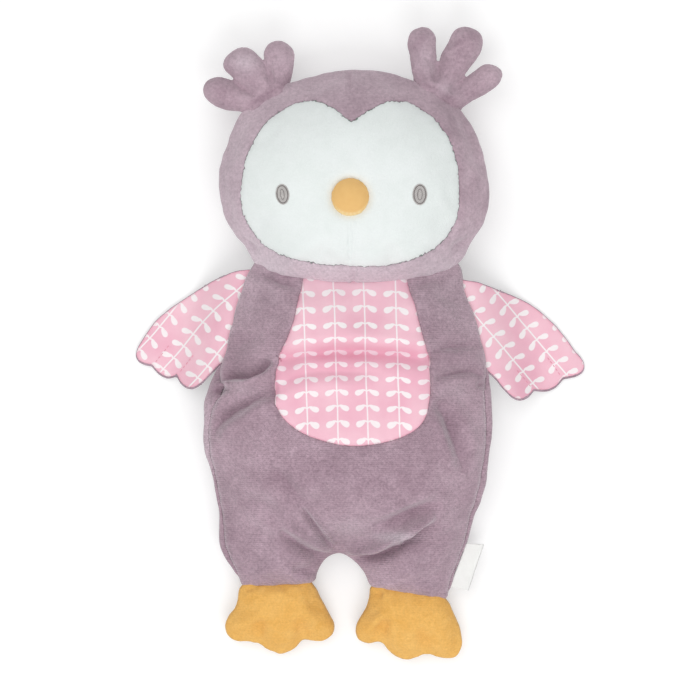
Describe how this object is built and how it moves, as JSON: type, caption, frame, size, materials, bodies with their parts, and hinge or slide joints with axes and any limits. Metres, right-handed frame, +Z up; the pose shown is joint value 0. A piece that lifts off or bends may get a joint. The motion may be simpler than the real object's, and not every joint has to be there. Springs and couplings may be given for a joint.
{
  "type": "plush owl",
  "caption": "Stuffed cloth owl with a large head, fingered ears, printed belly and wings, round nose and three-toed feet, lying on its back.",
  "frame": {"origin": "on the flat resting patch of the back, under the middle of the belly", "axes": "+Z up out of the belly and face as the owl lies on its back, +Y towards the crown of the head, +X to the viewer's right from above"},
  "size_m": [0.2329, 0.33, 0.0675],
  "materials": {
    "plush": "mauve short-pile velour with a mottled nap",
    "face": "very pale mint short-pile plush",
    "print": "pink woven cotton with a thin white vine print",
    "feet": "yellow-orange short-pile velour",
    "nose": "orange-tan velour with a slight sheen, gathered",
    "thread": "grey satin-stitch embroidery",
    "ribbon": "white satin ribbon, plain",
    "filling": "white polyester fibre"
  },
  "bodies": {
    "body": {"body_front": "plush", "belly_panel": "print", "body_back": "plush", "body_filling": "filling"},
    "head": {"head_hood": "plush", "head_back": "plush", "face_panel": "face", "head_filling": "filling", "eye_left": "thread", "eye_right": "thread", "nose_cover": "nose", "nose_filling": "filling"},
    "ear_left": {"ear_left_front": "plush", "ear_left_back": "plush", "ear_left_filling": "filling"},
    "ear_right": {"ear_right_front": "plush", "ear_right_back": "plush", "ear_right_filling": "filling"},
    "wing_left": {"wing_left_front": "print", "wing_left_back": "plush"},
    "wing_right": {"wing_right_front": "print", "wing_right_back": "plush"},
    "foot_left": {"foot_left_top": "feet", "foot_left_sole": "feet", "foot_left_filling": "filling"},
    "foot_right": {"foot_right_top": "feet", "foot_right_sole": "feet", "foot_right_filling": "filling"},
    "label": {"side_label": "ribbon"}
  },
  "joints": [
    {"name": "neck_nod", "type": "hinge", "parent": "body", "child": "head", "pos_m": [0, 0.08144, 0.022], "axis": [1, 0, 0], "range_deg": [-30, 35]},
    {"name": "ear_left_bend", "type": "hinge", "parent": "head", "child": "ear_left", "pos_m": [-0.05674, 0.16818, 0.022], "axis": [0.8466, 0.5322, 0], "range_deg": [-40, 40], "stiffness_Nm_per_rad": 0.03},
    {"name": "ear_right_bend", "type": "hinge", "parent": "head", "child": "ear_right", "pos_m": [0.03361, 0.18455, 0.022], "axis": [0.8606, -0.5092, 0], "range_deg": [-40, 40], "stiffness_Nm_per_rad": 0.03},
    {"name": "wing_left_fold", "type": "hinge", "parent": "body", "child": "wing_left", "pos_m": [-0.06765, 0.03419, 0.022], "axis": [0.2886, 0.9575, 0], "range_deg": [-80, 110]},
    {"name": "wing_right_fold", "type": "hinge", "parent": "body", "child": "wing_right", "pos_m": [0.05969, 0.07795, 0.022], "axis": [0.2726, -0.9621, 0], "range_deg": [-80, 110]},
    {"name": "foot_left_bend", "type": "hinge", "parent": "body", "child": "foot_left", "pos_m": [-0.01755, -0.07944, 0.012], "axis": [-0.9964, -0.085, 0], "range_deg": [-45, 55]},
    {"name": "foot_right_bend", "type": "hinge", "parent": "body", "child": "foot_right", "pos_m": [0.04986, -0.09052, 0.012], "axis": [-0.9793, 0.2023, 0], "range_deg": [-45, 55]},
    {"name": "label_flap", "type": "hinge", "parent": "body", "child": "label", "pos_m": [0.06319, -0.05802, 0.012], "axis": [-0.2882, -0.9576, 0], "range_deg": [-60, 75], "stiffness_Nm_per_rad": 0.0005}
  ]
}
